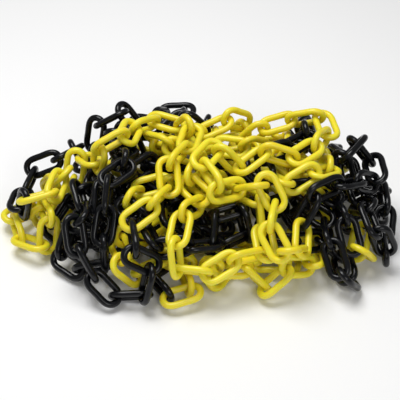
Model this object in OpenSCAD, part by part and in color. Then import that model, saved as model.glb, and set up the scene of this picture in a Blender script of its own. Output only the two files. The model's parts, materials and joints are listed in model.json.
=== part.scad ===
// Plastic barrier chain in two colours, tipped out as one loose oval heap.
// Every link is its own closed oval loop, threaded through the loops before and after it.
// The chain is laid link by link, as it falls from a hand that moves over the ground: each link
// hangs from the one before it and drops to the lowest place that is clear of all the others.

/* [Link] */
// Thickness of the round bar that a link is moulded from
bar_d = 8; // [7.8:0.1:8.2]
// Outside length of a link
link_l = 52; // [51:0.5:54]
// Outside width of a link
link_w = 29; // [28.5:0.5:30]

/* [Heap] */
// Half the width of the ground that the chain is kept to
heap_a = 195; // [185:5:230]
// Half the depth of the ground that the chain is kept to
heap_b = 125; // [115:5:160]
// Height above which links are steered down the sides of the heap
heap_c = 90; // [90:5:130]
// Which way the chain happens to fall
fall = 1; // [1:1:18]

/* [Colours] */
// Colour of the lighter stretches
light = "gold"; // [gold, red, white]
// Colour of the darker stretches
dark = "#1b1d1f"; // [#1b1d1f, #1d3f9c, #b01818]

/* [Hidden] */
half_run = 13;              // links in half a stretch of one colour
first_run = 11;             // links left of the first half stretch, where the chain was cut

// Where the hand passes: [x, y, spread of the falling chain]. Each step lays half_run links.
ROUTE = [
    [-120, 60, 0],
    [-150, -20, 45], [-80, -60, 45],
    [0, -90, 45], [90, -60, 45],
    [150, 20, 45], [90, 80, 45],
    [10, 60, 45], [-80, 90, 45],
    [-60, -60, 45], [30, -80, 35],
    [-30, -125, 30], [-150, -80, 30],
    [-150, -20, 30], [-90, 60, 40],
    [20, 100, 30], [100, 70, 35],
    [50, 20, 40], [150, 30, 35],
    [-10, -30, 30], [90, -100, 30],
    [50, -140, 15], [-100, -110, 15],
    [-150, -70, 25], [-80, 40, 25],
    [-120, 90, 35]
];
total_links = first_run + half_run * (len(ROUTE) - 2);

// A link is two half rings of mean radius ring_r, joined by straight bars 2 * straight long.
ring_r = (link_w - bar_d) / 2;
straight = (link_l - link_w) / 2;
tight = 2 * ring_r - bar_d;          // between neighbouring ring centres, chain drawn tight
slack = 0.8;                         // how far short of tight two links hang
twist_slack = 2;                     // the same where a link is twisted about its own length
mid_gap = bar_d + 0.6;               // least distance between the bar middles of two links
joint_gap = bar_d + 0.35;            // the same for two links that are threaded together

// Points spaced evenly round the middle line of a link, starting on its lower straight.
samples = 24;
outline_l = 4 * straight + 2 * PI * ring_r;
function on_outline(s) =
    s < 2 * straight ? [s - straight, -ring_r, 0] :
    s < outline_l / 2 ?
        let(a = (s - 2 * straight) / ring_r * 180 / PI)
        [straight + ring_r * sin(a), -ring_r * cos(a), 0] :
    -on_outline(s - outline_l / 2);
OUTLINE = [for (i = [0 : samples - 1]) on_outline((i + 0.5) / samples * outline_l)];

// A laid link is [centre, axes, axes turned over, centre in its own axes]. The rows of axes are
// the way along the link, the way across it, and the normal of its plane.
function unit(v) = v / norm(v);
function turned_over(m) = [for (i = [0 : 2]) [for (j = [0 : 2]) m[j][i]]];
function laid_link(centre, along, normal) =
    let(axes = [along, cross(normal, along), normal])
    let(back = turned_over(axes))
    [centre, axes, back, centre * back];
function heading(around, up) = [cos(up) * cos(around), cos(up) * sin(around), sin(up)];

// The link that hangs from another and points along a given way. Its bar swings first in the
// plane of the other link, then out of it. Twist turns it about its own length.
function hung_link(other, along, twist) =
    let(far = other[1][0])
    let(pole = other[1][2])
    let(flat = along - (along * pole) * pole)
    norm(flat) < 0.2 || unit(flat) * far < 0.03 ? undef :
    let(middle = unit(flat))
    let(square = cross(pole, middle))
    let(normal = square * cos(twist) + cross(along, square) * sin(twist))
    let(reach = tight - (twist == 0 ? slack : twist_slack))
    laid_link(other[0] + straight * (far + along) + reach * middle, along, normal);

// Least distance from a set of points to the middle line of a link. Beside a straight it is
// measured square to the bar, and round an end it is measured from the half ring.
function least_gap(points, link) =
    let(start = link[3])
    min([
        for (p = points * link[2])
        let(past = max(abs(p.x - start.x) - straight, 0))
        norm([norm([past, p.y - start.y]) - ring_r, p.z - start.z])
    ]);
function points_of(link) = let(turn = OUTLINE * link[1]) [for (p = turn) p + link[0]];
function misses(points, link, others, k = 0) =
    k >= len(others) ? true :
    least_gap([link[0]], others[k]) < link_l / 2 + mid_gap
        && least_gap([others[k][0]], link) < link_l / 2 + mid_gap
        && least_gap(points, others[k]) < mid_gap ? false :
    misses(points, link, others, k + 1);

// Half the size of a link's box along each of x, y and z.
function half_box(link) = [
    for (j = [0 : 2])
    straight * abs(link[1][0][j]) + ring_r * norm([link[1][0][j], link[1][1][j]]) + bar_d / 2
];
function is_clear(link, others) =
    !is_undef(link) && link[0].z - half_box(link).z > 0.1
        && misses(points_of(link), link, [for (o = others) if (norm(o[0] - link[0]) < link_l) o]);

// Ways that a link may point: turns to either side of the way to the hand, and slopes up.
TURNS = [0, 22, -22, 45, -45, 70, -70, 95, -95, 120, -120, 145, -145];
SLOPES = [-70, -50, -35, -20, -7, 7, 20, 35, 50, 68, 86];
TWISTS = [0, 15, -15];

// A place counts as free only if the link after it could climb out of it.
function free_place(last, near, wide, around, up, t = 0) =
    t >= len(TWISTS) ? undef :
    let(link = hung_link(last, heading(around, up), TWISTS[t]))
    is_undef(link) ? undef :
    least_gap(points_of(link), last) > joint_gap && is_clear(link, near)
        && is_clear(hung_link(link, heading(around, min(up + 75, 88)), 0), wide) ? link :
    free_place(last, near, wide, around, up, t + 1);
function lowest_place(last, near, wide, around, s = 0) =
    s >= len(SLOPES) ? undef :
    heading(around, SLOPES[s]) * last[1][0] < 0 ?
        lowest_place(last, near, wide, around, s + 1) :
    let(link = free_place(last, near, wide, around, SLOPES[s]))
    is_undef(link) ? lowest_place(last, near, wide, around, s + 1) : link;

// What a place costs: its height, its way from the middle of the heap, its turn from the hand,
// its way out of the heap's own oval dome, and its way from under the hand.
function cost(link, hand, turn) =
    let(p = link[0] + 15 * link[1][0])
    let(oval = pow(p.x / heap_a, 2) + pow(p.y / heap_b, 2))
    let(dome = oval + pow(max(p.z - 10, 0) / heap_c, 2))
    let(astray = norm([p.x - hand.x, p.y - hand.y]) - hand[2] - 15)
    p.z + 25 * oval + 0.12 * abs(turn) + 800 * max(dome - 1, 0) + 0.7 * max(astray, 0);
function best_place(last, near, wide, hand, around, i = 0, best = undef) =
    i >= len(TURNS) ? best :
    !is_undef(best) && best[0] < last[0].z + straight * last[1][0].z - 10 ? best :
    let(link = lowest_place(last, near, wide, around + TURNS[i]))
    let(value = is_undef(link) ? undef : cost(link, hand, TURNS[i]))
    let(worse = is_undef(link) || (!is_undef(best) && best[0] <= value))
    best_place(last, near, wide, hand, around, i + 1, worse ? best : [value, link]);

// The hand moves evenly along each leg of the route while that leg's links go down.
function hand_at(i) =
    let(leg = floor(i / half_run))
    let(t = (i % half_run + 1) / half_run)
    let(from = ROUTE[leg])
    let(to = ROUTE[leg + 1])
    [from.x + (to.x - from.x) * t, from.y + (to.y - from.y) * t, to[2]];
function next_link(laid, tries) =
    let(i = len(laid))
    let(last = laid[i - 1])
    let(tip = last[0] + straight * last[1][0])
    let(reach = tight + straight + link_l)
    let(far = reach + link_l - 2 * bar_d)
    let(wide = [for (k = [i - 2 : -1 : 0]) if (norm(laid[k][0] - tip) < far) laid[k]])
    let(near = [for (o = wide) if (norm(o[0] - tip) < reach) o])
    let(hand = hand_at(i))
    let(chance = rands(-1, 1, 2, fall * 1000 + i * 17 + tries * 7919))
    let(swing = 180 * chance[0])
    let(goal = [hand.x + hand[2] * cos(swing), hand.y + hand[2] * sin(swing)])
    let(around = atan2(goal.y - tip.y, goal.x - tip.x) + (tries > 0 ? 60 * chance[1] : 0))
    best_place(last, near, wide, hand, around);

// Where no place is free, the last few links are picked up again and laid another way.
function lay(laid, tries = 0) =
    len(laid) >= total_links || tries > 200 ? laid :
    let(found = next_link(laid, tries))
    let(kept = max(len(laid) - 3 - 2 * (tries % 5), 0))
    is_undef(found) ? lay([for (k = [0 : kept]) laid[k]], tries + 1) :
    lay(concat(laid, [found[1]]), tries);
CHAIN = lay([
    laid_link(
        [ROUTE[0].x, ROUTE[0].y, bar_d / 2 + ring_r * cos(45) + 0.3],
        [1, 0, 0],
        [0, -sin(45), cos(45)]
    )
]);

// The heap is moved so that its box stands on the ground with its middle over the origin.
LOW = [for (j = [0 : 2]) min([for (l = CHAIN) l[0][j] - half_box(l)[j]])];
HIGH = [for (j = [0 : 2]) max([for (l = CHAIN) l[0][j] + half_box(l)[j]])];
shift = [-(LOW.x + HIGH.x) / 2, -(LOW.y + HIGH.y) / 2, -LOW.z];

// One end of a link: half a ring about the far end of its straights.
module link_end() {
    translate([straight, 0, 0])
        rotate([0, 0, -90])
            rotate_extrude(angle = 180, $fn = 48)
                translate([ring_r, 0])
                    circle(d = bar_d, $fn = 24);
}

// One straight side of a link.
module link_side() {
    translate([-straight, ring_r, 0])
        rotate([0, 90, 0])
            cylinder(d = bar_d, h = 2 * straight, $fn = 24);
}

// A whole link, flat, with its length along x and its middle at the origin.
module link() {
    for (turn = [0, 180]) {
        rotate([0, 0, turn]) link_end();
        rotate([0, 0, turn]) link_side();
    }
}

// Link number i of the chain, where it came to rest.
module chain_link(i) {
    centre = CHAIN[i][0] + shift;
    back = CHAIN[i][2];
    multmatrix([
        [back.x.x, back.x.y, back.x.z, centre.x],
        [back.y.x, back.y.y, back.y.z, centre.y],
        [back.z.x, back.z.y, back.z.z, centre.z]
    ]) link();
}

// Half a stretch of one colour, counted from the buried end of the chain.
function start_of(k) = k == 0 ? 0 : first_run + (k - 1) * half_run;
module black_links(k) {
    color(dark) for (i = [start_of(k) : start_of(k + 1) - 1]) chain_link(i);
}
module yellow_links(k) {
    color(light) for (i = [start_of(k) : start_of(k + 1) - 1]) chain_link(i);
}

// A link of the free end, counted up to the last one.
module end_link(n) {
    color(dark) chain_link(total_links - half_run + n - 1);
}

black_links(0);  // run_01_black_a
black_links(1);  // run_01_black_b
yellow_links(2);  // run_02_yellow_a
yellow_links(3);  // run_02_yellow_b
black_links(4);  // run_03_black_a
black_links(5);  // run_03_black_b
yellow_links(6);  // run_04_yellow_a
yellow_links(7);  // run_04_yellow_b
black_links(8);  // run_05_black_a
black_links(9);  // run_05_black_b
yellow_links(10);  // run_06_yellow_a
yellow_links(11);  // run_06_yellow_b
black_links(12);  // run_07_black_a
black_links(13);  // run_07_black_b
yellow_links(14);  // run_08_yellow_a
yellow_links(15);  // run_08_yellow_b
black_links(16);  // run_09_black_a
black_links(17);  // run_09_black_b
yellow_links(18);  // run_10_yellow_a
yellow_links(19);  // run_10_yellow_b
black_links(20);  // run_11_black_a
black_links(21);  // run_11_black_b
yellow_links(22);  // run_12_yellow_a
yellow_links(23);  // run_12_yellow_b
end_link(1);  // end_link_01
end_link(2);  // end_link_02
end_link(3);  // end_link_03
end_link(4);  // end_link_04
end_link(5);  // end_link_05
end_link(6);  // end_link_06
end_link(7);  // end_link_07
end_link(8);  // end_link_08
end_link(9);  // end_link_09
end_link(10);  // end_link_10
end_link(11);  // end_link_11
end_link(12);  // end_link_12
end_link(13);  // end_link_13
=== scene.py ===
"""A loose heap of plastic barrier chain, yellow and black in turn.

Every link is rebuilt where it lies as a smooth moulded loop: a light cage of rings round an oval
path, finished by a subdivision surface. The links of one stretch are one piece.
"""

import json
import math

import bpy
import numpy as np
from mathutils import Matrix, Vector


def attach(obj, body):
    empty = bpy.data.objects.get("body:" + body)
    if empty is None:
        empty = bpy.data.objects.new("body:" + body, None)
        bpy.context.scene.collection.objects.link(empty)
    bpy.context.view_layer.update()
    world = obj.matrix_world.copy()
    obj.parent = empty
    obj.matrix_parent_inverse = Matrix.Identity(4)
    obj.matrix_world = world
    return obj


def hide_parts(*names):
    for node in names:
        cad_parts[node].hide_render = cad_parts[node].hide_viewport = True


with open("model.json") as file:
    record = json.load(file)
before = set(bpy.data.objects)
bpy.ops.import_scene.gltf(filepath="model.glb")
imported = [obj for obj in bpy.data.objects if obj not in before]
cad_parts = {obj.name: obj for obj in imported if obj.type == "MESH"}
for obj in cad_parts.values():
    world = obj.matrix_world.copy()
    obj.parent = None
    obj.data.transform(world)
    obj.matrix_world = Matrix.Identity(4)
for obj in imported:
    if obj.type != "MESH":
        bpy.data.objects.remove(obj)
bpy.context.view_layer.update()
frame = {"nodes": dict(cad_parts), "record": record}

# Link, in metres
BAR = 0.008                      # thickness of the round bar
LENGTH, WIDTH = 0.052, 0.029     # outside
RING = (WIDTH - BAR) / 2         # radius of the bar's middle line round an end
STRAIGHT = (LENGTH - WIDTH) / 2  # half the length of a straight side
RINGS_PER_END = 5                # rings round each end, both its joints with the straights counted
SIDES = 6                        # corners of a ring
SQUASH = 0.985                   # thickness square to the link's plane, as a share of BAR
SMOOTHNESS = 2                   # how often the cage is subdivided
WELD = 5e-6                      # corners of a CAD node closer than this are one
FURTHEST_START = 200.0           # millimetres along the bar at which a link's pattern may start


# ---------------------------------------------------------------- where the links lie

def closed_links(node):
    """Centre and axes of every separate link in a CAD node.

    Corners at one place count as one. Each corner takes the lowest number among its neighbours,
    again and again, until every link has one number. A link's centre is the area-weighted mean of
    its triangles' middles, and its axes are those of its triangles' area-weighted spread: the
    widest is along the link, the narrowest is square to its plane."""
    mesh = node.data
    mesh.calc_loop_triangles()
    spots = np.empty(len(mesh.vertices) * 3, np.float32)
    mesh.vertices.foreach_get("co", spots)
    corners = np.empty(len(mesh.loop_triangles) * 3, np.int32)
    mesh.loop_triangles.foreach_get("vertices", corners)
    spots = spots.reshape(-1, 3).astype(float)
    _, same = np.unique(np.round(spots / WELD).astype(np.int64), axis=0, return_inverse=True)
    tri = same.reshape(-1)[corners].reshape(-1, 3)
    label = np.arange(tri.max() + 1)
    while True:
        low = label[tri].min(axis=1)
        new = label.copy()
        for k in range(3):
            np.minimum.at(new, tri[:, k], low)
        new = new[new]
        if np.array_equal(new, label):
            break
        label = new
    a, b, c = (spots[corners.reshape(-1, 3)[:, k]] for k in range(3))
    area = np.linalg.norm(np.cross(b - a, c - a), axis=1) / 2
    middle = (a + b + c) / 3
    links = []
    for name in np.unique(label[tri[:, 0]]):
        own = label[tri[:, 0]] == name
        w, p = area[own], middle[own]
        centre = (w[:, None] * p).sum(0) / w.sum()
        spread = ((p - centre).T * w) @ (p - centre)
        axes = np.linalg.eigh(spread)[1][:, ::-1].T
        axes[2] = np.cross(axes[0], axes[1])
        links.append((centre, axes))
    return links


# ---------------------------------------------------------------- one link's cage

def oval_path():
    """Points, outward directions and run of the middle line of a link, flat, once round.

    Round each end the points stand at even angles on a half circle, and one more stands in the
    middle of each straight. The outward direction is that of the half circle, or square to the
    straight."""
    angle = np.linspace(-90, 90, RINGS_PER_END) * np.pi / 180
    end = np.stack([STRAIGHT + RING * np.cos(angle), RING * np.sin(angle)], 1)
    out = np.stack([np.cos(angle), np.sin(angle)], 1)
    half = np.concatenate([end, [[0.0, RING]]])
    half_out = np.concatenate([out, [[0.0, 1.0]]])
    points = np.concatenate([half, -half])
    outward = np.concatenate([half_out, -half_out])
    step = np.linalg.norm(np.roll(points, -1, 0) - points, axis=1)
    return points, outward, np.cumsum(np.concatenate([[0.0], step]))


def draw_in(values, axis):
    """Cage corners whose smooth surface passes through the given points.

    A subdivision surface passes at 1/6, 4/6, 1/6 of each corner and its two neighbours, so the
    cage is the given points times the inverse of that ring of weights."""
    n = values.shape[axis]
    eye = np.eye(n)
    weights = (4 * eye + np.roll(eye, 1, 0) + np.roll(eye, -1, 0)) / 6
    return np.moveaxis(np.tensordot(np.linalg.inv(weights), values, axes=(1, axis)), 0, axis)


def link_cage():
    """Cage corners of one flat link, by ring and side, and its run along and round.

    The bar is a circle carried round the oval path: middle line + bar radius * (cos b along the
    outward direction + sin b along the link's normal). It is a little fuller along the link's
    plane than square to it, as a part that shrinks in its mould is."""
    points, outward, run = oval_path()
    b = np.arange(SIDES) / SIDES * 2 * np.pi
    radial, normal = BAR / 2 * np.cos(b), BAR / 2 * SQUASH * np.sin(b)
    flat = points[:, None, :] + radial[None, :, None] * outward[:, None, :]
    height = np.broadcast_to(normal[None, :, None], flat.shape[:2] + (1,))
    surface = np.concatenate([flat, height], axis=2)
    return draw_in(draw_in(surface, 0), 1), run


CAGE, RUN = link_cage()


def grid_faces(rings, sides):
    """Quads of a grid that closes on itself both ways: each joins a corner to the next along,
    the next along and round, and the next round."""
    i, j = np.meshgrid(np.arange(rings), np.arange(sides), indexing="ij")
    i2, j2 = (i + 1) % rings, (j + 1) % sides
    return np.stack([i * sides + j, i2 * sides + j, i2 * sides + j2, i * sides + j2], -1)


def stretch_piece(name, links, material, seed):
    """One piece that holds all the links of a stretch.

    Each link's corners are its centre + cage times its axes. Its UV map is millimetres along the
    bar and round it, with a new start for each link, and tone is one even random number a link."""
    chance = np.random.default_rng(seed)
    rings, sides = CAGE.shape[:2]
    centres = np.array([c for c, _ in links])
    axes = np.array([a for _, a in links])
    corners = centres[:, None] + np.einsum("kj,nji->nki", CAGE.reshape(-1, 3), axes)
    quads = grid_faces(rings, sides).reshape(-1, 4)
    count, per = len(links), rings * sides
    faces = (np.arange(count)[:, None, None] * per + quads[None]).reshape(-1, 4)
    mesh = bpy.data.meshes.new(name)
    mesh.vertices.add(count * per)
    mesh.vertices.foreach_set("co", corners.reshape(-1).astype(np.float32))
    mesh.loops.add(faces.size)
    mesh.loops.foreach_set("vertex_index", faces.reshape(-1).astype(np.int32))
    mesh.polygons.add(len(faces))
    mesh.polygons.foreach_set("loop_start", np.arange(0, faces.size, 4, dtype=np.int32))
    mesh.polygons.foreach_set("use_smooth", np.ones(len(faces), bool))
    i, j = np.divmod(np.arange(per), sides)
    along = np.stack([RUN[i], RUN[i + 1], RUN[i + 1], RUN[i]], 1) * 1000
    turn = np.stack([j, j, j + 1, j + 1], 1) / sides * np.pi * BAR * 1000
    own = np.stack([along, turn], -1)
    start = chance.random((count, 1, 1, 2)) * [FURTHEST_START, 0.0]
    uv = mesh.uv_layers.new(name="bar")
    uv.data.foreach_set("uv", (own[None] + start).reshape(-1).astype(np.float32))
    tone = mesh.attributes.new("tone", "FLOAT", "POINT")
    tone.data.foreach_set("value", np.repeat(chance.random(count), per).astype(np.float32))
    mesh.update(calc_edges=True)
    mesh.validate()
    mesh.materials.append(material)
    piece = bpy.data.objects.new(name, mesh)
    bpy.context.scene.collection.objects.link(piece)
    smooth = piece.modifiers.new("smooth", "SUBSURF")
    smooth.levels = smooth.render_levels = SMOOTHNESS
    return piece


# ---------------------------------------------------------------- plastics

CLOUD = 22.0                     # how close together the soft clouds of colour lie
CLOUD_SHARE = 0.6                # what the clouds add to the colour; the link's tone adds the rest
PEEL = 900.0                     # how fine the orange peel of the moulded skin is
SCUFF = 3.0                      # how fine the scuffs are
SCUFF_STRETCH = (0.06, 1.1, 1.0)   # scuffs are long along the bar and narrow round it
SCUFF_FLOOR = 0.55               # noise below this leaves the skin whole
SEAM_EDGE = 2.2                  # how steeply the mould line falls away, for each millimetre
PEEL_HEIGHT, SCUFF_HEIGHT, SEAM_HEIGHT = 0.10, -0.5, 0.6
GLOW_DEPTH = 0.004               # how far light creeps through the plastic, in metres
GLOW_TINT = (1.0, 0.45, 0.05)    # red creeps furthest, so the hollows look orange


def moulded_plastic(name, deep, pale, rough, gloss, scuffed, glow):
    """A plastic moulded through in one colour.

    Colour: deep to pale by a soft cloud and by the link's tone. Roughness: rough, plus scuffed
    times the scuffs that lie along the bar. Height: orange peel, scuffs, and a fine raised line
    where the two halves of the mould met, round the outside and the inside of the loop. Glow is
    how much of the light creeps through the plastic before it comes out."""
    material = bpy.data.materials.new(name)
    material.use_nodes = True
    tree = material.node_tree
    shader = tree.nodes["Principled BSDF"]
    place = tree.nodes.new("ShaderNodeTexCoord")
    bar = tree.nodes.new("ShaderNodeUVMap")
    bar.uv_map = "bar"
    tone = tree.nodes.new("ShaderNodeAttribute")
    tone.attribute_name = "tone"

    def node(kind, **inputs):
        n = tree.nodes.new(kind)
        for key, value in inputs.items():
            n.inputs[key.replace("_", " ")].default_value = value
        return n

    def maths(kind, a, b=None, clamp=False):
        n = tree.nodes.new("ShaderNodeMath")
        n.operation = kind
        n.use_clamp = clamp
        for k, value in enumerate((a, b)):
            if isinstance(value, (int, float)):
                n.inputs[k].default_value = value
            elif value is not None:
                tree.links.new(value, n.inputs[k])
        return n.outputs[0]

    cloud = node("ShaderNodeTexNoise", Scale=CLOUD, Detail=3.0, Roughness=0.6)
    tree.links.new(place.outputs["Object"], cloud.inputs["Vector"])
    mix = tree.nodes.new("ShaderNodeMix")
    mix.data_type = "RGBA"
    mix.inputs["A"].default_value = (*deep, 1)
    mix.inputs["B"].default_value = (*pale, 1)
    share = maths("ADD", maths("MULTIPLY", cloud.outputs[0], CLOUD_SHARE),
                  maths("MULTIPLY", tone.outputs["Fac"], 1 - CLOUD_SHARE), clamp=True)
    tree.links.new(share, mix.inputs["Factor"])
    tree.links.new(mix.outputs["Result"], shader.inputs["Base Color"])

    lay = tree.nodes.new("ShaderNodeMapping")
    lay.inputs["Scale"].default_value = SCUFF_STRETCH
    tree.links.new(bar.outputs["UV"], lay.inputs["Vector"])
    scuff = node("ShaderNodeTexNoise", Scale=SCUFF, Detail=4.0, Roughness=0.65)
    tree.links.new(lay.outputs["Vector"], scuff.inputs["Vector"])
    worn = maths("SUBTRACT", scuff.outputs[0], SCUFF_FLOOR, clamp=True)
    tree.links.new(maths("ADD", maths("MULTIPLY", worn, scuffed), rough, clamp=True),
                   shader.inputs["Roughness"])

    peel = node("ShaderNodeTexNoise", Scale=PEEL, Detail=2.0, Roughness=0.5)
    tree.links.new(place.outputs["Object"], peel.inputs["Vector"])
    split = tree.nodes.new("ShaderNodeSeparateXYZ")
    tree.links.new(bar.outputs["UV"], split.inputs[0])
    quarter_round = math.pi * BAR * 1000 / 4
    off_seam = maths("PINGPONG", split.outputs["Y"], quarter_round)
    seam = maths("SUBTRACT", 1.0, maths("MULTIPLY", off_seam, SEAM_EDGE), clamp=True)
    height = maths("ADD", maths("MULTIPLY", peel.outputs[0], PEEL_HEIGHT),
                   maths("ADD", maths("MULTIPLY", worn, SCUFF_HEIGHT),
                         maths("MULTIPLY", seam, SEAM_HEIGHT)))
    bump = node("ShaderNodeBump", Strength=0.45, Distance=0.0002)
    tree.links.new(height, bump.inputs["Height"])
    tree.links.new(bump.outputs["Normal"], shader.inputs["Normal"])

    shader.inputs["IOR"].default_value = 1.5
    shader.inputs["Specular IOR Level"].default_value = gloss
    if glow:
        shader.inputs["Subsurface Weight"].default_value = glow
        shader.inputs["Subsurface Radius"].default_value = GLOW_TINT
        shader.inputs["Subsurface Scale"].default_value = GLOW_DEPTH
    return material


yellow = moulded_plastic("yellow_moulded_plastic", deep=(0.82, 0.64, 0.009),
                         pale=(0.86, 0.80, 0.040), rough=0.34, gloss=0.5, scuffed=0.9, glow=0.35)
black = moulded_plastic("black_moulded_plastic", deep=(0.0014, 0.0016, 0.0022),
                        pale=(0.0034, 0.0038, 0.0052), rough=0.20, gloss=0.30, scuffed=0.9, glow=0.0)


# ---------------------------------------------------------------- the chain

body_of = {n: b for b, members in frame["record"]["behaviour"]["bodies"].items() for n in members}
for number, name in enumerate(sorted(frame["nodes"])):
    is_yellow = "yellow" in name
    piece = stretch_piece(name + "_links", closed_links(frame["nodes"][name]),
                          yellow if is_yellow else black, seed=100 + number)
    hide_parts(name)
    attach(piece, body_of[name])


# ---------------------------------------------------------------- floor, light and camera

def floor():
    """A plain pale ground, wide enough to fill every view."""
    mesh = bpy.data.meshes.new("ground")
    far = 6.0
    mesh.from_pydata([(-far, -far, 0), (far, -far, 0), (far, far, 0), (-far, far, 0)], [],
                     [(0, 1, 2, 3)])
    ground = bpy.data.objects.new("ground", mesh)
    bpy.context.scene.collection.objects.link(ground)
    material = bpy.data.materials.new("pale_ground")
    material.use_nodes = True
    shader = material.node_tree.nodes["Principled BSDF"]
    shader.inputs["Base Color"].default_value = (0.95, 0.95, 0.95, 1)
    shader.inputs["Roughness"].default_value = 0.9
    shader.inputs["Specular IOR Level"].default_value = 0.1
    mesh.materials.append(material)


def aim(thing, eye, target):
    """Puts a camera or a lamp at eye, looking at target."""
    way = Vector(target) - Vector(eye)
    thing.location = eye
    thing.rotation_mode = "QUATERNION"
    thing.rotation_quaternion = way.to_track_quat("-Z", "Y")


def lamp(name, eye, size, power, colour=(1, 1, 1)):
    """A square soft lamp aimed at the middle of the heap."""
    data = bpy.data.lights.new(name, "AREA")
    data.shape = "SQUARE"
    data.size, data.energy, data.color = size, power, colour
    thing = bpy.data.objects.new(name, data)
    bpy.context.scene.collection.objects.link(thing)
    aim(thing, eye, (0, 0, 0.04))


floor()
lamp("top_light", (-0.30, 0.10, 1.5), 0.8, 18)
lamp("front_fill", (0.5, -1.5, 1.1), 0.7, 6.5)
world = bpy.data.worlds.new("studio")
bpy.context.scene.world = world
world.use_nodes = True
world.node_tree.nodes["Background"].inputs["Color"].default_value = (1, 1, 1, 1)
world.node_tree.nodes["Background"].inputs["Strength"].default_value = 0.28

UP = math.radians(40)            # how steeply the camera looks down
AWAY = 1.35                      # from the camera to the middle of the view
VIEW_WIDTH = 0.486               # width of the view there
TARGET = (0.004, -0.004, 0.035)  # middle of the view

view = bpy.data.cameras.new("view")
camera = bpy.data.objects.new("view", view)
bpy.context.scene.collection.objects.link(camera)
aim(camera, (TARGET[0], TARGET[1] - AWAY * math.cos(UP), TARGET[2] + AWAY * math.sin(UP)), TARGET)
view.lens = view.sensor_width * AWAY / VIEW_WIDTH
bpy.context.scene.camera = camera
bpy.context.scene.view_settings.view_transform = "Standard"
